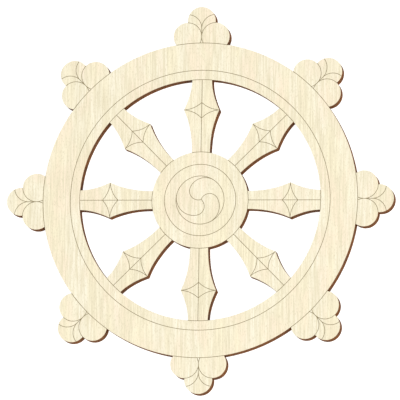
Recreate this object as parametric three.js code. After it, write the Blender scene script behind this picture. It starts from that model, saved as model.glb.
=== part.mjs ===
// An eight-spoked dharma wheel cut from one sheet of plywood.
// Millimetres. The sheet lies on its back in the XY plane, its front face up, and +Y is the top of the wheel.
import * as THREE from 'three';

// The sheet
const SHEET_THICKNESS = 4;
const OVERALL_RADIUS = 50; // from the centre to a finial's tip

// Rim and hub
const RIM_OUTER_RADIUS = 40.65;
const RIM_INNER_RADIUS = 31.15;
const HUB_RADIUS = 12.45;

// Spokes: a slender bar that swells to a sharp shoulder and narrows again before the rim
const SPOKE_COUNT = 8;
const SPOKE_TURN = THREE.MathUtils.degToRad(-0.47); // the set of spokes is turned a little against the finials
const SPOKE_ROOT_HALF_WIDTH = 2.33;
const SPOKE_SHOULDER_RADIUS = 23.3;
const SPOKE_SHOULDER_HALF_WIDTH = 4.58;
const SPOKE_HEAD_HALF_WIDTH = 2.56;
// Each flank is a hollow curve. Its two end tangents cross this far from the wheel's centre.
const LOWER_FLANK_BEND_RADIUS = 18.6;
const UPPER_FLANK_BEND_RADIUS = 27.5;

// Finials: three round petals of one size, two side by side on the rim and one above them
const FINIAL_COUNT = 8;
const PETAL_RADIUS = 3.62;
const LOWER_PETAL_DISTANCE = 42.3; // from the wheel's centre to the middle of the two lower petals

// Fineness of the outline
const ARC_SAGITTA = 0.01; // most that a facet leaves its arc
const FLANK_STEPS = 10;

const FULL_TURN = 2 * Math.PI;

/** The end angle of an arc, a whole turn on where needed, so that it runs anticlockwise from start. */
function anticlockwiseEnd(start, end) {
  return end < start ? end + FULL_TURN : end;
}

/** Points along an anticlockwise arc, without its last point. */
function arcPoints(centre, radius, start, end) {
  const sweep = anticlockwiseEnd(start, end) - start;
  const widestStep = 2 * Math.acos(1 - ARC_SAGITTA / radius);
  const steps = 2 * Math.ceil(sweep / widestStep / 2); // an even number, so that a point lies at the middle
  return Array.from({ length: steps }, (_, i) => {
    const angle = start + (sweep * i) / steps;
    return new THREE.Vector2(centre.x + radius * Math.cos(angle), centre.y + radius * Math.sin(angle));
  });
}

/** Points along a hollow spoke flank, without its last point. */
function flankPoints(from, bend, to) {
  return new THREE.QuadraticBezierCurve(from, bend, to).getPoints(FLANK_STEPS).slice(0, -1);
}

/** A point at a distance along a ray from the wheel's centre, and offset anticlockwise across it. */
function pointOnRay(rayAngle, along, across) {
  return new THREE.Vector2(along, across).rotateAround(new THREE.Vector2(), rayAngle);
}

/** How far along its ray a point lies that is on a circle round the wheel's centre. */
function alongAtRadius(radius, across) {
  return Math.sqrt(radius ** 2 - across ** 2);
}

/** Where two circles cross, on the anticlockwise side of the line from the first centre to the second. */
function circleCrossing(centreA, radiusA, centreB, radiusB) {
  const between = centreB.clone().sub(centreA);
  const distance = between.length();
  const alongLine = (distance ** 2 + radiusA ** 2 - radiusB ** 2) / (2 * distance);
  const offLine = Math.sqrt(radiusA ** 2 - alongLine ** 2);
  return new THREE.Vector2(alongLine, offLine).rotateAround(new THREE.Vector2(), between.angle()).add(centreA);
}

/** The angle at which a point is seen from a centre. */
function angleFrom(centre, point) {
  return point.clone().sub(centre).angle();
}

/** One finial's outline, anticlockwise, from where it leaves the rim to where it meets the rim again. */
function finialPoints(rayAngle) {
  const wheelCentre = new THREE.Vector2();
  const topDistance = OVERALL_RADIUS - PETAL_RADIUS;
  const right = pointOnRay(rayAngle, LOWER_PETAL_DISTANCE, -PETAL_RADIUS);
  const top = pointOnRay(rayAngle, topDistance, 0);
  const left = pointOnRay(rayAngle, LOWER_PETAL_DISTANCE, PETAL_RADIUS);

  const rimToRight = circleCrossing(right, PETAL_RADIUS, wheelCentre, RIM_OUTER_RADIUS);
  const rightToTop = circleCrossing(top, PETAL_RADIUS, right, PETAL_RADIUS);
  const topToLeft = circleCrossing(left, PETAL_RADIUS, top, PETAL_RADIUS);
  const leftToRim = circleCrossing(wheelCentre, RIM_OUTER_RADIUS, left, PETAL_RADIUS);
  return [
    ...arcPoints(right, PETAL_RADIUS, angleFrom(right, rimToRight), angleFrom(right, rightToTop)),
    ...arcPoints(top, PETAL_RADIUS, angleFrom(top, rightToTop), angleFrom(top, topToLeft)),
    ...arcPoints(left, PETAL_RADIUS, angleFrom(left, topToLeft), angleFrom(left, leftToRim)),
  ];
}

/** The angle across the wheel from a finial's middle to where its outline meets the rim. */
function finialHalfAngle() {
  const left = pointOnRay(0, LOWER_PETAL_DISTANCE, PETAL_RADIUS);
  return circleCrossing(new THREE.Vector2(), RIM_OUTER_RADIUS, left, PETAL_RADIUS).angle();
}

/** The outer outline: finials, and the bare rim between them. */
function wheelOutline() {
  const halfFinial = finialHalfAngle();
  const pitch = FULL_TURN / FINIAL_COUNT;
  const points = [];
  for (let i = 0; i < FINIAL_COUNT; i += 1) {
    const ray = i * pitch;
    points.push(...finialPoints(ray));
    points.push(...arcPoints(new THREE.Vector2(), RIM_OUTER_RADIUS, ray + halfFinial, ray + pitch - halfFinial));
  }
  return points;
}

/** One opening's outline, anticlockwise, between the spoke on this ray and the next spoke. */
function openingOutline(rayAngle) {
  const wheelCentre = new THREE.Vector2();
  const nextRay = rayAngle + FULL_TURN / SPOKE_COUNT;
  const rootAlong = alongAtRadius(HUB_RADIUS, SPOKE_ROOT_HALF_WIDTH);
  const headAlong = alongAtRadius(RIM_INNER_RADIUS, SPOKE_HEAD_HALF_WIDTH);

  const flank = (ray, side) => ({
    root: pointOnRay(ray, rootAlong, side * SPOKE_ROOT_HALF_WIDTH),
    lowerBend: pointOnRay(ray, LOWER_FLANK_BEND_RADIUS, side * SPOKE_ROOT_HALF_WIDTH),
    shoulder: pointOnRay(ray, SPOKE_SHOULDER_RADIUS, side * SPOKE_SHOULDER_HALF_WIDTH),
    upperBend: pointOnRay(ray, UPPER_FLANK_BEND_RADIUS, side * SPOKE_HEAD_HALF_WIDTH),
    head: pointOnRay(ray, headAlong, side * SPOKE_HEAD_HALF_WIDTH),
  });
  const near = flank(rayAngle, 1);
  const far = flank(nextRay, -1);

  const hubArc = arcPoints(wheelCentre, HUB_RADIUS, near.root.angle(), far.root.angle());
  const rimArc = arcPoints(wheelCentre, RIM_INNER_RADIUS, near.head.angle(), far.head.angle());
  return [
    ...flankPoints(near.root, near.lowerBend, near.shoulder),
    ...flankPoints(near.shoulder, near.upperBend, near.head),
    ...rimArc,
    ...flankPoints(far.head, far.upperBend, far.shoulder),
    ...flankPoints(far.shoulder, far.lowerBend, far.root),
    far.root,
    ...hubArc.slice(1).reverse(),
  ];
}

/** The whole wheel: rim, hub, spokes and finials are one piece of the sheet. */
function makeWheel() {
  const shape = new THREE.Shape(wheelOutline());
  for (let i = 0; i < SPOKE_COUNT; i += 1) {
    const ray = SPOKE_TURN + (i * FULL_TURN) / SPOKE_COUNT;
    shape.holes.push(new THREE.Path(openingOutline(ray)));
  }
  const geometry = new THREE.ExtrudeGeometry(shape, { depth: SHEET_THICKNESS, bevelEnabled: false });
  const plywood = new THREE.MeshStandardMaterial({ color: 0xf3e6c4, roughness: 0.75, metalness: 0 });
  const wheel = new THREE.Mesh(geometry, plywood);
  wheel.name = 'dharma_wheel';
  return wheel;
}

const model = new THREE.Group();
model.name = 'dharma_wheel_model';
model.add(makeWheel());

export default model;
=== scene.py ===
import math

import bpy
import numpy as np
from bpy.props import FloatProperty, FloatVectorProperty, PointerProperty
from bpy.types import Operator, Panel, PropertyGroup
from mathutils import Matrix, Vector, noise
from mathutils.geometry import delaunay_2d_cdt


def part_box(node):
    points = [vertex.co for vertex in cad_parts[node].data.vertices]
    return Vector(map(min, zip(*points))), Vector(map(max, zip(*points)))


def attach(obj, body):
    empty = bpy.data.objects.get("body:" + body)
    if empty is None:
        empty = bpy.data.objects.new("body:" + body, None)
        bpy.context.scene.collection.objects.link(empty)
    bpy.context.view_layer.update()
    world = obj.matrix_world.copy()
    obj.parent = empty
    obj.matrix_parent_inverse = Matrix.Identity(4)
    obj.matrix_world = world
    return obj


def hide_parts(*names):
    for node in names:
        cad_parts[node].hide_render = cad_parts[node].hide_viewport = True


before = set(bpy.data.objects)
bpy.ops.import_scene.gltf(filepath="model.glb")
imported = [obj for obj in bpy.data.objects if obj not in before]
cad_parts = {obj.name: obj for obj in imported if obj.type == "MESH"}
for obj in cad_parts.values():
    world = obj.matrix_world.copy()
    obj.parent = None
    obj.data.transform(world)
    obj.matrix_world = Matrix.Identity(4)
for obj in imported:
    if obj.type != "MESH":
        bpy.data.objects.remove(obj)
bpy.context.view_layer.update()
WHEEL_LOW, WHEEL_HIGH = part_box("dharma_wheel")

bl_info = {
    "name": "Engraved plywood dharma wheel",
    "version": (1, 0, 0),
    "blender": (4, 5, 0),
    "location": "3D View > Sidebar > Dharma wheel",
    "description": "A dharma wheel cut and engraved by laser in one sheet of birch plywood",
    "category": "Add Mesh",
}

MM = 0.001
FULL_TURN = 2 * math.pi
SPOKES = 8
FINIALS = 8
WELD = 1e-6  # points of the plan nearer than this are one point
AT_ONCE = 500  # points measured against every line at a time, which bounds the memory used


def linear(hex_colour):
    """An sRGB hex colour as linear red, green, blue and alpha."""
    shares = [int(hex_colour[i : i + 2], 16) / 255 for i in (1, 3, 5)]
    return (*[s / 12.92 if s <= 0.04045 else ((s + 0.055) / 1.055) ** 2.4 for s in shares], 1.0)


def length_property(name, description, millimetres):
    """A size that the sidebar shows as a length."""
    return FloatProperty(
        name=name, description=description, default=millimetres * MM, precision=5, unit="LENGTH"
    )


def angle_property(name, description, degrees):
    """An angle that the sidebar shows in degrees."""
    return FloatProperty(
        name=name, description=description, default=math.radians(degrees), unit="ROTATION"
    )


def colour_property(name, description, hex_colour):
    """A colour that the sidebar shows as a swatch."""
    return FloatVectorProperty(
        name=name, description=description, default=linear(hex_colour), size=4, subtype="COLOR",
        min=0.0, max=1.0,
    )


class WheelSizes(PropertyGroup):
    """The cut outline: rim, hub, spokes and finials."""

    overall_radius: length_property(
        "Overall radius", "From the centre to a finial's tip", WHEEL_HIGH.x / MM)
    thickness: length_property(
        "Thickness", "Of the plywood sheet", (WHEEL_HIGH.z - WHEEL_LOW.z) / MM)
    rim_outer: length_property("Rim outside", "Radius of the rim's outer edge", 40.65)
    rim_inner: length_property("Rim inside", "Radius of the openings' outer edge", 31.15)
    hub: length_property("Hub", "Radius of the hub", 12.45)
    spoke_turn: angle_property(
        "Spoke turn", "How far the set of spokes is turned against the finials", -0.47)
    root_half: length_property("Root", "Half a spoke's width at the hub", 2.33)
    shoulder_radius: length_property("Shoulder", "From the centre to a spoke's shoulder", 23.3)
    shoulder_half: length_property("Shoulder width", "Half a spoke's width at its shoulder", 4.58)
    head_half: length_property("Head", "Half a spoke's width at the rim", 2.56)
    lower_bend: length_property(
        "Lower bend", "Where the end tangents of a flank under the shoulder cross", 18.6)
    upper_bend: length_property(
        "Upper bend", "Where the end tangents of a flank over the shoulder cross", 27.5)
    petal: length_property("Petal", "Radius of a finial's three round petals", 3.62)
    petal_distance: length_property(
        "Petal distance", "From the centre to the middle of the two lower petals", 42.3)


class EngravingSizes(PropertyGroup):
    """The lines that the laser scored in the front face."""

    width: length_property("Line width", "Of a scored line", 0.15)
    depth: length_property("Line depth", "Of a scored line", 0.12)
    rim_line: length_property("Rim line", "Radius of the line round the rim", 33.57)
    hub_line: length_property("Hub line", "Radius of the larger circle on the hub", 9.22)
    swirl_circle: length_property("Swirl circle", "Radius of the circle round the swirl", 6.22)
    swirl_bend: length_property("Swirl bend", "Radius of a swirl arm's tight inner bend", 2.31)
    swirl_sweep: angle_property("Swirl sweep", "How far an arm turns on its inner bend", 131.1)
    swirl_centre: FloatVectorProperty(
        name="Swirl centre", description="Where the swirl's three arms meet", size=2,
        default=(0.27 * MM, 0.14 * MM), precision=5, unit="LENGTH")
    swirl_headings: FloatVectorProperty(
        name="Swirl headings", description="Directions in which the three arms leave the centre",
        size=3, default=[math.radians(a) for a in (198.0, 70.0, 320.3)], unit="ROTATION")
    star_outer: length_property("Star outer tip", "From the centre to a star's outer tip", 25.26)
    star_inner: length_property("Star inner tip", "From the centre to a star's inner tip", 21.2)
    star_pinch: length_property(
        "Star pinch", "Half the star's width where the tangents of its side tips cross", 1.85)
    second_petal: length_property(
        "Second petals", "From the centre to the middle of a finial's second pair of petals", 44.42)


class CutEdge(PropertyGroup):
    """How the laser left the edge of the sheet."""

    step: length_property("Step", "Spacing of points along the edge", 0.3)
    softening: length_property("Softening", "Width of the burnt corner along each face", 0.02)
    outer_ply: length_property("Outer ply", "Thickness of the front and the back ply", 1.36)
    glue_gap: length_property("Glue gap", "Height of the groove burnt along a glue line", 0.07)
    glue_depth: length_property("Glue depth", "Depth of the groove burnt along a glue line", 0.035)
    waver: length_property("Waver", "How far the beam wavers into the wood", 0.012)
    smoke_reach: length_property("Smoke reach", "Width of the smoke stain on the back", 0.55)


class Finishes(PropertyGroup):
    """Colours of the veneer, the burnt edge and the scored lines."""

    cream: colour_property("Cream", "Birch earlywood", "#F9F2DB")
    straw: colour_property("Straw", "Birch latewood", "#F7EBC4")
    blush: colour_property("Blush", "Pinkish patches of the veneer", "#FBE6CD")
    streak: colour_property("Streak", "Fine streaks along the grain", "#E3D9BA")
    vessel: colour_property("Vessel", "Cut vessels, short dashes along the grain", "#D8CEB0")
    scored: colour_property("Scored line", "Wood toasted by a quick pass of the laser", "#A99D7B")
    toast: colour_property("Toast", "Lighter parts of the cut edge", "#84532A")
    char: colour_property("Char", "Darkest parts of the cut edge", "#502F14")
    glue: colour_property("Glue line", "Burnt glue between the plies", "#2A170D")
    smoke: colour_property("Smoke", "Smoke stain on the back", "#B98E5C")


class Studio(PropertyGroup):
    """Camera, floor and light."""

    camera_tilt: angle_property("Camera tilt", "How far the camera leans from straight down", 11.55)
    camera_heading: angle_property(
        "Camera heading", "Which way the camera leans, from +X towards +Y", -45.0)
    view_width: length_property("View width", "What the picture takes in from side to side", 102.3)
    camera_distance: length_property("Camera distance", "From the wheel to the camera", 3000.0)
    floor_radius: length_property("Floor radius", "Of the round floor", 4000.0)
    floor_glow: FloatProperty(
        name="Floor glow", description="Light that the lit table gives off", default=1.0)
    sky: FloatProperty(name="Sky", description="Strength of the white surroundings", default=0.72)
    lamp_watts: FloatProperty(name="Lamp", description="Power of the softbox", default=33.0)
    lamp_width: length_property("Lamp width", "Of the square softbox", 1800.0)
    lamp_place: FloatVectorProperty(
        name="Lamp place", description="Where the softbox hangs", size=3,
        default=(1.3, -0.9, 1.5), unit="LENGTH", subtype="TRANSLATION")


# Drawing in the plane of the sheet


def on_ray(ray, along, across=0.0):
    """A point at a distance along a ray from the wheel's centre, and offset anticlockwise across it."""
    return Matrix.Rotation(ray, 2) @ Vector((along, across))


def arc(centre, radius, start, end, step):
    """Points along an arc, with both ends. It runs clockwise if end is below start."""
    count = max(2, math.ceil(abs(end - start) * radius / step))
    angles = [start + (end - start) * i / count for i in range(count + 1)]
    return [centre + on_ray(angle, radius) for angle in angles]


def anticlockwise(start, end):
    """The end of a turn that runs anticlockwise from start."""
    return start + (end - start) % FULL_TURN


def bend(start, corner, end, step):
    """Points along a curve that leaves start and reaches end on straight lines through corner."""
    count = max(2, math.ceil(((corner - start).length + (end - corner).length) / step))
    shares = [i / count for i in range(count + 1)]
    return [start * (1 - t) ** 2 + corner * 2 * t * (1 - t) + end * t**2 for t in shares]


def straight(start, end, step):
    """Points along a straight line, with both ends."""
    count = max(1, math.ceil((end - start).length / step))
    return [start.lerp(end, i / count) for i in range(count + 1)]


def closed(*stretches):
    """One closed loop from stretches that each start where the last one ended."""
    return np.array([point for stretch in stretches for point in stretch[:-1]])


def angle_of(point, centre=Vector((0, 0))):
    """The direction from a centre to a point."""
    return math.atan2(point.y - centre.y, point.x - centre.x)


def crossing(centre_a, radius_a, centre_b, radius_b):
    """Where two circles cross, on the left of the line from the first centre to the second."""
    line = centre_b - centre_a
    along = (line.length**2 + radius_a**2 - radius_b**2) / (2 * line.length)
    off = math.sqrt(radius_a**2 - along**2)
    return centre_a + on_ray(angle_of(line), along, off)


def finial_outline(sizes, ray, step):
    """A finial's three petals, anticlockwise from the rim to the rim."""
    hub = Vector((0, 0))
    right = on_ray(ray, sizes.petal_distance, -sizes.petal)
    top = on_ray(ray, sizes.overall_radius - sizes.petal)
    left = on_ray(ray, sizes.petal_distance, sizes.petal)
    corners = (
        crossing(right, sizes.petal, hub, sizes.rim_outer),
        crossing(top, sizes.petal, right, sizes.petal),
        crossing(left, sizes.petal, top, sizes.petal),
        crossing(hub, sizes.rim_outer, left, sizes.petal),
    )
    stretches = []
    for centre, first, last in zip((right, top, left), corners, corners[1:]):
        start = angle_of(first, centre)
        end = anticlockwise(start, angle_of(last, centre))
        stretches.append(arc(centre, sizes.petal, start, end, step))
    return stretches


def wheel_outline(sizes, step):
    """The outer edge of the sheet, anticlockwise: finials, and the bare rim between them."""
    stretches = []
    for i in range(FINIALS):
        finial = finial_outline(sizes, i * FULL_TURN / FINIALS, step)
        following = finial_outline(sizes, (i + 1) * FULL_TURN / FINIALS, step)
        start = angle_of(finial[-1][-1])
        end = anticlockwise(start, angle_of(following[0][0]))
        stretches += [*finial, arc(Vector((0, 0)), sizes.rim_outer, start, end, step)]
    return closed(*stretches)


def spoke_flank(sizes, ray, side, step):
    """The two hollow curves along one side of a spoke, from the hub to the rim."""
    root = on_ray(ray, math.sqrt(sizes.hub**2 - sizes.root_half**2), side * sizes.root_half)
    lower = on_ray(ray, sizes.lower_bend, side * sizes.root_half)
    shoulder = on_ray(ray, sizes.shoulder_radius, side * sizes.shoulder_half)
    upper = on_ray(ray, sizes.upper_bend, side * sizes.head_half)
    head = on_ray(ray, math.sqrt(sizes.rim_inner**2 - sizes.head_half**2), side * sizes.head_half)
    return [bend(root, lower, shoulder, step), bend(shoulder, upper, head, step)]


def spoke_ray(sizes, number):
    """The direction of a spoke."""
    return sizes.spoke_turn + number * FULL_TURN / SPOKES


def opening_outline(sizes, number, step):
    """The edge of the opening between a spoke and the next, clockwise, so that wood is on its left."""
    near = spoke_flank(sizes, spoke_ray(sizes, number), 1, step)
    far = spoke_flank(sizes, spoke_ray(sizes, number + 1), -1, step)
    hub_start, hub_end = angle_of(near[0][0]), angle_of(far[0][0])
    rim_start, rim_end = angle_of(near[1][-1]), angle_of(far[1][-1])
    hub_arc = arc(Vector((0, 0)), sizes.hub, hub_start, anticlockwise(hub_start, hub_end), step)
    rim_arc = arc(Vector((0, 0)), sizes.rim_inner, rim_start, anticlockwise(rim_start, rim_end), step)
    return closed(hub_arc, *far, rim_arc[::-1], near[1][::-1], near[0][::-1])


def finial_lines(sizes, engraving, ray, step):
    """Lines on a finial: the rim's edge across its foot, and two pairs of petals round a stem."""
    hub = Vector((0, 0))
    top = on_ray(ray, sizes.overall_radius - sizes.petal)
    foot = on_ray(ray, sizes.petal_distance)
    stem = on_ray(ray, engraving.second_petal)
    lines = [straight(foot, stem, step)]
    ends = []
    for side in (-1, 1):
        lower = on_ray(ray, sizes.petal_distance, side * sizes.petal)
        second = on_ray(ray, engraving.second_petal, side * sizes.petal)
        if side < 0:
            notch = crossing(top, sizes.petal, lower, sizes.petal)
            tip = crossing(top, sizes.petal, second, sizes.petal)
            base = crossing(hub, sizes.rim_outer, lower, sizes.petal)
            ends.append(crossing(lower, sizes.petal, hub, sizes.rim_outer))
        else:
            notch = crossing(lower, sizes.petal, top, sizes.petal)
            tip = crossing(second, sizes.petal, top, sizes.petal)
            base = crossing(lower, sizes.petal, hub, sizes.rim_outer)
            ends.append(crossing(hub, sizes.rim_outer, lower, sizes.petal))
        for centre, first, last in ((lower, notch, base), (second, tip, stem)):
            start, end = angle_of(first, centre), angle_of(last, centre)
            turn = (end - start) % FULL_TURN if side < 0 else -((start - end) % FULL_TURN)
            lines.append(arc(centre, sizes.petal, start, start + turn, step))
    start = angle_of(ends[0])
    lines.append(arc(hub, sizes.rim_outer, start, anticlockwise(start, angle_of(ends[1])), step))
    return lines


def spoke_lines(sizes, engraving, ray, step):
    """Lines on a spoke: its two ends, its middle, and a four-pointed star at its shoulders."""
    lines = [straight(on_ray(ray, sizes.hub), on_ray(ray, sizes.rim_inner), step)]
    for radius, half in ((sizes.hub, sizes.root_half), (sizes.rim_inner, sizes.head_half)):
        reach = math.asin(half / radius)
        lines.append(arc(Vector((0, 0)), radius, ray - reach, ray + reach, step))
    for side in (-1, 1):
        shoulder = on_ray(ray, sizes.shoulder_radius, side * sizes.shoulder_half)
        for tip in (engraving.star_inner, engraving.star_outer):
            middle = 0.9 * sizes.shoulder_radius + 0.1 * tip
            corner = on_ray(ray, middle, side * engraving.star_pinch)
            lines.append(bend(shoulder, corner, on_ray(ray, tip), step))
    return lines


def swirl_arm(engraving, heading, step):
    """One arm of the swirl: a tight bend from the middle, then a wide one that meets the circle."""
    radius, circle = engraving.swirl_bend, engraving.swirl_circle
    start = Vector(engraving.swirl_centre)
    tight_centre = start + on_ray(heading, 0, -radius)
    leaving = heading + math.pi / 2
    tight = arc(tight_centre, radius, leaving, leaving - engraving.swirl_sweep, step)
    joint = tight[-1]
    inward = on_ray(heading - engraving.swirl_sweep, 0, -1)
    wide_radius = (circle**2 - joint.length_squared) / (2 * (circle + joint.dot(inward)))
    wide_centre = joint + inward * wide_radius
    first, last = angle_of(joint, wide_centre), angle_of(wide_centre)
    wide = arc(wide_centre, wide_radius, first, first - (first - last) % FULL_TURN, step)
    return tight[:-1] + wide


def engraved_lines(sizes, engraving, step):
    """Every scored line, as rows of points. A full circle ends where it starts."""
    centre = Vector((0, 0))
    circles = (engraving.rim_line, engraving.hub_line, engraving.swirl_circle)
    lines = [arc(centre, radius, 0, FULL_TURN, step) for radius in circles]
    lines += [swirl_arm(engraving, heading, step) for heading in engraving.swirl_headings]
    for i in range(SPOKES):
        lines += spoke_lines(sizes, engraving, spoke_ray(sizes, i), step)
    for i in range(FINIALS):
        lines += finial_lines(sizes, engraving, i * FULL_TURN / FINIALS, step)
    return [np.array(line) for line in lines]


# From the drawing to the solid


def sideways(points, ring):
    """For each point of a path, the step to its right that keeps both its edges at distance one."""
    if ring:
        before, after = np.roll(points, 1, axis=0), np.roll(points, -1, axis=0)
    else:
        before = np.vstack([2 * points[0] - points[1], points[:-1]])
        after = np.vstack([points[1:], 2 * points[-1] - points[-2]])
    rights = []
    for edge in (points - before, after - points):
        edge = edge / np.linalg.norm(edge, axis=1)[:, None]
        rights.append(np.column_stack([edge[:, 1], -edge[:, 0]]))
    return (rights[0] + rights[1]) / (1 + (rights[0] * rights[1]).sum(1))[:, None]


def groove_borders(line, half_width):
    """The closed border round a scored line, or the two borders of a full circle."""
    if np.allclose(line[0], line[-1]):
        ring = line[:-1]
        offset = sideways(ring, True) * half_width
        return [ring + offset, ring - offset]
    offset = sideways(line, False) * half_width
    start = line[0] + (line[0] - line[1]) / np.linalg.norm(line[0] - line[1]) * half_width
    end = line[-1] + (line[-1] - line[-2]) / np.linalg.norm(line[-1] - line[-2]) * half_width
    return [np.vstack([start, line + offset, end, (line - offset)[::-1]])]


def inside(loops, points):
    """Whether each point lies in the wood: a line from it then crosses an odd number of edges."""
    odd = np.zeros(len(points), bool)
    starts = np.vstack(loops)
    ends = np.vstack([np.roll(loop, -1, axis=0) for loop in loops])
    rise = np.where(ends[:, 1] == starts[:, 1], 1.0, ends[:, 1] - starts[:, 1])
    for part in np.array_split(np.arange(len(points)), len(points) // AT_ONCE + 1):
        x, y = points[part, 0][:, None], points[part, 1][:, None]
        spans = (starts[:, 1] > y) != (ends[:, 1] > y)
        edge_x = starts[:, 0] + (y - starts[:, 1]) / rise * (ends[:, 0] - starts[:, 0])
        odd[part] = (spans & (x < edge_x)).sum(1) % 2 == 1
    return odd


def distance_to(lines, points):
    """How far each point lies from the nearest of some lines."""
    starts = np.vstack([line[:-1] for line in lines])
    along = np.vstack([line[1:] - line[:-1] for line in lines])
    squares = (along**2).sum(1)
    nearest = np.empty(len(points))
    for part in np.array_split(np.arange(len(points)), len(points) // AT_ONCE + 1):
        from_start = points[part][:, None] - starts
        share = np.clip((from_start * along).sum(2) / squares, 0, 1)
        gaps = from_start - share[..., None] * along
        nearest[part] = np.sqrt((gaps**2).sum(2).min(1))
    return nearest


def filled(loops, rings=(), lines=(), loose=()):
    """Triangles over the wood inside the loops, which keep every line as an edge: their points, their corners, and the
    number that each point had among those given, or -1 for a point that was added."""
    corners, edges = [], []
    for path, ring in [(p, True) for p in (*loops, *rings)] + [(p, False) for p in lines]:
        first = len(corners)
        corners.extend(Vector(point) for point in path)
        last = len(corners) - 1
        edges.extend((i, i + 1) for i in range(first, last))
        if ring:
            edges.append((last, first))
    corners.extend(Vector(point) for point in loose)
    found, _, triangles, given, _, _ = delaunay_2d_cdt(corners, edges, [], 0, WELD, True)
    points = np.array([tuple(point) for point in found])
    triangles = np.array(triangles)
    triangles = triangles[inside(loops, points[triangles].mean(1))]
    return points, triangles, [numbers[0] if numbers else -1 for numbers in given]


def rims(triangles):
    """The closed edges of some triangles, each a list of point numbers with the wood on its left."""
    sides = {(int(t[i]), int(t[i - 2])) for t in triangles for i in range(3)}
    following = {a: b for a, b in sides if (b, a) not in sides}
    loops = []
    while following:
        first, point = following.popitem()
        loop = [first]
        while point != first:
            loop.append(point)
            point = following.pop(point)
        loops.append(loop)
    return loops


def edge_profile(sizes, edge):
    """The cut edge from front to back: (height, how far inside the outline)."""
    top, soft, gap = sizes.thickness, edge.softening, edge.glue_gap / 2
    rows = [(top - soft, 0.0)]
    for seam, above in ((top - edge.outer_ply, top), (edge.outer_ply, top - edge.outer_ply)):
        rows.append(((above + seam) / 2, 0.0))
        rows += [(seam + gap, 0.0), (seam, edge.glue_depth), (seam - gap, 0.0)]
    rows += [(edge.outer_ply / 2, 0.0), (soft, 0.0), (0.0, soft)]
    return rows


class SheetBuilder:
    """Collects the points, faces and finishes of the sheet before they become a mesh."""

    FRONT, SCORED, EDGE, BACK = range(4)

    def __init__(self):
        self.points, self.faces, self.finishes, self.smoke = [], [], [], []

    def add_points(self, points, smoke=0.0):
        """Adds points and returns their numbers."""
        first = len(self.points)
        self.points.extend(tuple(point) for point in points)
        self.smoke.extend(np.broadcast_to(smoke, len(points)).tolist())
        return list(range(first, len(self.points)))

    def add_face(self, corners, finish):
        self.faces.append(corners)
        self.finishes.append(finish)

    def object(self, name, materials):
        """The finished object, with flat faces and corners kept crisp."""
        mesh = bpy.data.meshes.new(name)
        mesh.from_pydata(self.points, [], self.faces)
        for material in materials:
            mesh.materials.append(material)
        mesh.polygons.foreach_set("material_index", self.finishes)
        mesh.attributes.new("smoke", "FLOAT", "POINT").data.foreach_set("value", self.smoke)
        mesh.shade_smooth()
        mesh.set_sharp_from_angle(angle=math.radians(30))
        mesh.validate()
        piece = bpy.data.objects.new(name, mesh)
        bpy.context.scene.collection.objects.link(piece)
        return piece


def add_front(sheet, sizes, engraving, loops, step):
    """The front face with its scored lines cut in. Returns the plan's points, heights and rims."""
    half = engraving.width / 2
    lines = engraved_lines(sizes, engraving, step)
    borders = [border for line in lines for border in groove_borders(line, half)]
    plan, triangles, _ = filled(loops, rings=borders, lines=lines)
    sunk = np.clip(1 - distance_to(lines, plan) / half, 0, 1) * engraving.depth
    sunk[sunk < 0.001 * engraving.depth] = 0
    heights = sizes.thickness - sunk
    numbers = sheet.add_points(np.column_stack([plan, heights]))
    scored = distance_to(lines, plan[triangles].mean(1)) < half
    for corners, in_groove in zip(triangles, scored):
        sheet.add_face([numbers[c] for c in corners], sheet.SCORED if in_groove else sheet.FRONT)
    return plan, heights, rims(triangles)


def add_edge(sheet, sizes, edge, plan, heights, rim):
    """The burnt edge below one rim of the front face. Returns the numbers and places of its lowest row."""
    base = plan[rim]
    outward = sideways(base, True)
    travelled = np.cumsum(np.linalg.norm(base - np.roll(base, 1, axis=0), axis=1))
    upper = rim
    for height, inset in edge_profile(sizes, edge):
        spots = [Vector((t / (0.9 * MM), height / (1.6 * MM), len(rim))) for t in travelled]
        waver = np.array([0.5 + 0.5 * noise.noise(spot) for spot in spots]) * edge.waver
        place = base + outward * (edge.softening - inset - waver)[:, None]
        drop = (sizes.thickness - heights[rim]) if height > sizes.thickness - 2 * edge.softening else 0
        row = np.column_stack([place, np.full(len(rim), height) - drop])
        lower = sheet.add_points(row, smoke=1.0)
        for i in range(len(rim)):
            sheet.add_face([upper[i - 1], lower[i - 1], lower[i], upper[i]], sheet.EDGE)
        upper = lower
    return upper, place


def add_back(sheet, edge, numbers, loops):
    """The plain back face. Its points carry how much smoke the beam left there."""
    reaches = [share * edge.smoke_reach for share in (0.5, 1.2, 2.4)]
    rows = [loop[::2] - sideways(loop, True)[::2] * reach for loop in loops for reach in reaches]
    loose = np.vstack(rows)
    edges = [np.vstack([loop, loop[:1]]) for loop in loops]
    clear = distance_to(edges, loose) > 0.4 * reaches[0]
    loose = loose[clear & inside(loops, loose)]
    plan, triangles, given = filled(loops, loose=loose)
    smoke = np.exp(-distance_to(edges, plan) / edge.smoke_reach)
    known = [numbers[i] if 0 <= i < len(numbers) else None for i in given]
    added = iter(sheet.add_points(
        [(*point, 0.0) for point, number in zip(plan, known) if number is None],
        smoke=[s for s, number in zip(smoke, known) if number is None],
    ))
    known = [next(added) if number is None else number for number in known]
    for corners in triangles:
        sheet.add_face([known[c] for c in corners[::-1]], sheet.BACK)


# Finishes


def add_node(tree, kind, links=(), **settings):
    """Adds a node. links gives each input a value or the output that feeds it."""
    node = tree.nodes.new(kind)
    for name, value in settings.items():
        setattr(node, name, value)
    for socket, source in dict(links).items():
        if isinstance(source, bpy.types.NodeSocket):
            tree.links.new(source, node.inputs[socket])
        else:
            node.inputs[socket].default_value = source
    return node


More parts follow.
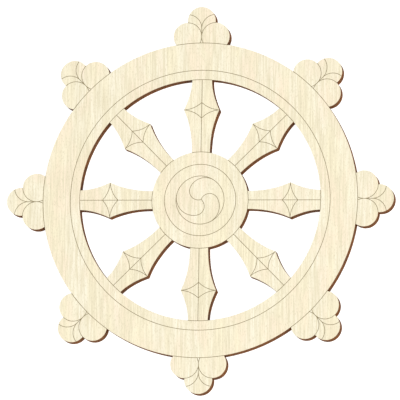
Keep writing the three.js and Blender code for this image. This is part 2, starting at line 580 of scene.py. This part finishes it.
def new_material(name, **shader):
    """A material with a Principled shader whose plain values are given, with its tree and shader."""
    material = bpy.data.materials.new(name)
    material.use_nodes = True
    tree = material.node_tree
    principled = tree.nodes["Principled BSDF"]
    for socket, value in shader.items():
        principled.inputs[socket.replace("_", " ")].default_value = value
    return material, tree, principled


def pattern(tree, size_mm, shift=0.0, **values):
    """Noise whose features measure size_mm across, along and through the sheet."""
    place = add_node(tree, "ShaderNodeTexCoord").outputs["Object"]
    scale = tuple(1 / (size * MM) for size in size_mm)
    scaled = add_node(tree, "ShaderNodeVectorMath", {0: place, 1: scale, 2: (shift,) * 3},
                      operation="MULTIPLY_ADD")
    links = {"Vector": scaled.outputs[0], "Scale": 1.0, **values}
    return add_node(tree, "ShaderNodeTexNoise", links).outputs["Fac"]


def between(tree, value, low, high, to_low=0.0, to_high=1.0):
    """A value stretched from one range to another, and held at its ends."""
    links = {0: value, 1: low, 2: high, 3: to_low, 4: to_high}
    return add_node(tree, "ShaderNodeMapRange", links, interpolation_type="SMOOTHSTEP").outputs[0]


def blended(tree, share, first, second):
    """One colour laid over another by a share."""
    links = {0: share, 6: first, 7: second}
    return add_node(tree, "ShaderNodeMix", links, data_type="RGBA").outputs[2]


def veneer_colour(tree, finishes, shift):
    """Birch veneer, rotary-cut: pale cream with soft straw bands and a few pinkish patches, under close
    fine streaks and short darker vessel dashes, all along the sheet's length. Returns colour and relief."""
    bands = between(tree, pattern(tree, (4, 30, 30), shift, Detail=3.0), 0.35, 0.68, 0.0, 0.6)
    patches = between(tree, pattern(tree, (4, 9, 9), shift + 7, Detail=2.0), 0.42, 0.7, 0.0, 0.6)
    streaks = between(tree, pattern(tree, (0.3, 7, 7), shift + 3, Detail=1.0), 0.25, 0.8)
    vessels = between(tree, pattern(tree, (0.18, 0.6, 0.6), shift + 5, Detail=1.0), 0.5, 0.8, 0.0, 0.8)
    colour = blended(tree, bands, tuple(finishes.cream), tuple(finishes.straw))
    colour = blended(tree, patches, colour, tuple(finishes.blush))
    colour = blended(tree, streaks, colour, tuple(finishes.streak))
    colour = blended(tree, vessels, colour, tuple(finishes.vessel))
    relief = add_node(tree, "ShaderNodeMath", {0: streaks, 1: vessels}, operation="ADD").outputs[0]
    return colour, relief


def birch_veneer_sanded(finishes):
    """Rotary-cut birch veneer, sanded and left bare: matt, with grain felt more than seen."""
    material, tree, shader = new_material("birch_veneer_sanded", IOR=1.45)
    colour, relief = veneer_colour(tree, finishes, 0.0)
    bump = add_node(tree, "ShaderNodeBump", {"Height": relief, "Strength": 0.3, "Distance": 0.02 * MM},
                    invert=True)
    rough = between(tree, relief, 0.0, 2.0, 0.6, 0.78)
    tree.links.new(colour, shader.inputs["Base Color"])
    tree.links.new(rough, shader.inputs["Roughness"])
    tree.links.new(bump.outputs[0], shader.inputs["Normal"])
    return material


def birch_veneer_smoked(finishes):
    """The same veneer on the back, where the beam left the sheet: smoke stains it brown along every cut."""
    material, tree, shader = new_material("birch_veneer_smoked", IOR=1.45)
    colour, relief = veneer_colour(tree, finishes, 40.0)
    smoke = add_node(tree, "ShaderNodeAttribute", attribute_name="smoke").outputs["Fac"]
    uneven = between(tree, pattern(tree, (0.8, 1.6, 1.6), 11, Detail=3.0), 0.25, 0.75, 0.35, 1.0)
    stain = add_node(tree, "ShaderNodeMath", {0: smoke, 1: uneven}, operation="MULTIPLY").outputs[0]
    colour = blended(tree, stain, colour, tuple(finishes.smoke))
    bump = add_node(tree, "ShaderNodeBump", {"Height": relief, "Strength": 0.4, "Distance": 0.02 * MM},
                    invert=True)
    rough = between(tree, relief, 0.0, 2.0, 0.68, 0.82)
    tree.links.new(colour, shader.inputs["Base Color"])
    tree.links.new(rough, shader.inputs["Roughness"])
    tree.links.new(bump.outputs[0], shader.inputs["Normal"])
    return material


def laser_scored_birch(finishes):
    """Veneer scored by one quick pass of the laser: a hairline groove toasted olive brown."""
    material, tree, shader = new_material("laser_scored_birch", IOR=1.45, Roughness=0.85)
    fired = between(tree, pattern(tree, (0.5, 0.5, 0.5), 2, Detail=2.0), 0.3, 0.7, 0.0, 0.15)
    colour = blended(tree, fired, tuple(finishes.scored), tuple(finishes.toast))
    tree.links.new(colour, shader.inputs["Base Color"])
    return material


def laser_charred_edge(sizes, edge, finishes):
    """Plywood cut through by the laser: a dark brown, dry, charred edge. Close upright ripples of the
    pulsing beam run down it, the middle ply is burnt darker, and the glue lines are the darkest."""
    material, tree, shader = new_material(
        "laser_charred_edge", IOR=1.45, Specular_IOR_Level=0.05)
    place = add_node(tree, "ShaderNodeTexCoord").outputs["Object"]
    height = add_node(tree, "ShaderNodeSeparateXYZ", {0: place}).outputs["Z"]
    middle = add_node(tree, "ShaderNodeMath", {0: height, 1: sizes.thickness / 2}, operation="SUBTRACT")
    off_middle = add_node(tree, "ShaderNodeMath", {0: middle.outputs[0]}, operation="ABSOLUTE").outputs[0]
    seam = sizes.thickness / 2 - edge.outer_ply
    from_seam = add_node(tree, "ShaderNodeMath", {0: off_middle, 1: seam}, operation="SUBTRACT")
    seam_gap = add_node(tree, "ShaderNodeMath", {0: from_seam.outputs[0]}, operation="ABSOLUTE").outputs[0]
    glue = between(tree, seam_gap, 0.03 * MM, 0.09 * MM, 1.0, 0.0)
    core = between(tree, off_middle, seam - 0.05 * MM, seam + 0.05 * MM, 0.35, 0.0)
    ripples = between(tree, pattern(tree, (0.12, 0.12, 4.0), 1, Detail=2.0), 0.3, 0.7)
    clouds = between(tree, pattern(tree, (1.8, 1.8, 0.7), 4, Detail=3.0), 0.3, 0.7)
    light = add_node(tree, "ShaderNodeMath", {0: ripples, 1: 0.45, 2: clouds}, operation="MULTIPLY_ADD")
    share = between(tree, light.outputs[0], 0.0, 1.45)
    colour = blended(tree, share, tuple(finishes.char), tuple(finishes.toast))
    colour = blended(tree, core, colour, tuple(finishes.char))
    colour = blended(tree, glue, colour, tuple(finishes.glue))
    bump = add_node(tree, "ShaderNodeBump", {"Height": ripples, "Strength": 0.5, "Distance": 0.04 * MM})
    rough = between(tree, clouds, 0.0, 1.0, 0.72, 0.9)
    tree.links.new(colour, shader.inputs["Base Color"])
    tree.links.new(rough, shader.inputs["Roughness"])
    tree.links.new(bump.outputs[0], shader.inputs["Normal"])
    return material


def white_acrylic_lit(studio):
    """A sheet of matt white acrylic lit from below, as a light table: it takes almost no shadow."""
    glow = (1.0, 1.0, 1.0, 1.0)
    material, _, _ = new_material(
        "white_acrylic_lit", Base_Color=linear("#B4B4B2"), Roughness=0.9, Emission_Color=glow,
        Emission_Strength=studio.floor_glow)
    return material


# Operators


class DHARMA_OT_wheel(Operator):
    """Build the engraved wheel in place of the plain solid"""

    bl_idname = "dharma.wheel"
    bl_label = "Plywood wheel"

    def execute(self, context):
        scene = context.scene
        sizes, engraving, edge, finishes = (
            scene.wheel_sizes, scene.wheel_engraving, scene.wheel_edge, scene.wheel_finishes)
        step = edge.step
        loops = [wheel_outline(sizes, step)]
        loops += [opening_outline(sizes, i, step) for i in range(SPOKES)]
        face_loops = [loop - sideways(loop, True) * edge.softening for loop in loops]
        sheet = SheetBuilder()
        plan, heights, rim_loops = add_front(sheet, sizes, engraving, face_loops, step)
        last_rows = [add_edge(sheet, sizes, edge, plan, heights, rim) for rim in rim_loops]
        numbers = [number for row, _ in last_rows for number in row]
        add_back(sheet, edge, numbers, [place for _, place in last_rows])
        wheel = sheet.object("engraved_plywood_wheel", [
            birch_veneer_sanded(finishes),
            laser_scored_birch(finishes),
            laser_charred_edge(sizes, edge, finishes),
            birch_veneer_smoked(finishes),
        ])
        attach(wheel, "root")
        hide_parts("dharma_wheel")
        return {"FINISHED"}


class DHARMA_OT_stage(Operator):
    """Set up the pale floor, the soft light and the camera over the wheel"""

    bl_idname = "dharma.stage"
    bl_label = "Studio"

    def execute(self, context):
        scene = context.scene
        studio = scene.wheel_studio
        bpy.ops.mesh.primitive_circle_add(
            vertices=96, radius=studio.floor_radius, fill_type="NGON", location=(0, 0, WHEEL_LOW.z))
        floor = context.object
        floor.name = "floor"
        floor.data.materials.append(white_acrylic_lit(studio))

        target = Vector((0, 0, WHEEL_HIGH.z))
        lean = Matrix.Rotation(studio.camera_tilt, 4, on_ray(studio.camera_heading, 0, 1).to_3d())
        camera_data = bpy.data.cameras.new("camera")
        camera_data.lens = camera_data.sensor_width * studio.camera_distance / studio.view_width
        camera = bpy.data.objects.new("camera", camera_data)
        camera.matrix_world = (
            Matrix.Translation(target) @ lean @ Matrix.Translation((0, 0, studio.camera_distance)))
        scene.collection.objects.link(camera)
        scene.camera = camera

        lamp_data = bpy.data.lights.new("softbox", "AREA")
        lamp_data.size = studio.lamp_width
        lamp_data.energy = studio.lamp_watts
        lamp = bpy.data.objects.new("softbox", lamp_data)
        lamp.location = studio.lamp_place
        lamp.rotation_euler = (target - Vector(studio.lamp_place)).to_track_quat("-Z", "Y").to_euler()
        scene.collection.objects.link(lamp)

        world = bpy.data.worlds.new("white_room")
        world.use_nodes = True
        background = world.node_tree.nodes["Background"]
        background.inputs["Color"].default_value = (1.0, 1.0, 1.0, 1.0)
        background.inputs["Strength"].default_value = studio.sky
        scene.world = world
        scene.view_settings.view_transform = "Standard"
        return {"FINISHED"}


class DHARMA_PT_sidebar(Panel):
    """Sizes, colours and buttons of the wheel"""

    bl_label = "Dharma wheel"
    bl_idname = "DHARMA_PT_sidebar"
    bl_space_type = "VIEW_3D"
    bl_region_type = "UI"
    bl_category = "Dharma wheel"

    def draw(self, context):
        layout = self.layout
        for title, name in GROUPS:
            box = layout.box()
            box.label(text=title)
            group = getattr(context.scene, name)
            for key in group.bl_rna.properties.keys():
                if key not in ("name", "rna_type"):
                    box.prop(group, key)
        layout.operator(DHARMA_OT_stage.bl_idname)
        layout.operator(DHARMA_OT_wheel.bl_idname)


GROUPS = (
    ("Outline", "wheel_sizes"),
    ("Engraving", "wheel_engraving"),
    ("Cut edge", "wheel_edge"),
    ("Finishes", "wheel_finishes"),
    ("Studio", "wheel_studio"),
)
GROUP_TYPES = (WheelSizes, EngravingSizes, CutEdge, Finishes, Studio)
CLASSES = (*GROUP_TYPES, DHARMA_OT_wheel, DHARMA_OT_stage, DHARMA_PT_sidebar)


def register():
    for cls in CLASSES:
        bpy.utils.register_class(cls)
    for (_, name), group in zip(GROUPS, GROUP_TYPES):
        setattr(bpy.types.Scene, name, PointerProperty(type=group))


def unregister():
    for _, name in GROUPS:
        delattr(bpy.types.Scene, name)
    for cls in reversed(CLASSES):
        bpy.utils.unregister_class(cls)


def main():
    register()
    bpy.ops.dharma.stage()
    bpy.ops.dharma.wheel()


if __name__ == "__main__":
    main()
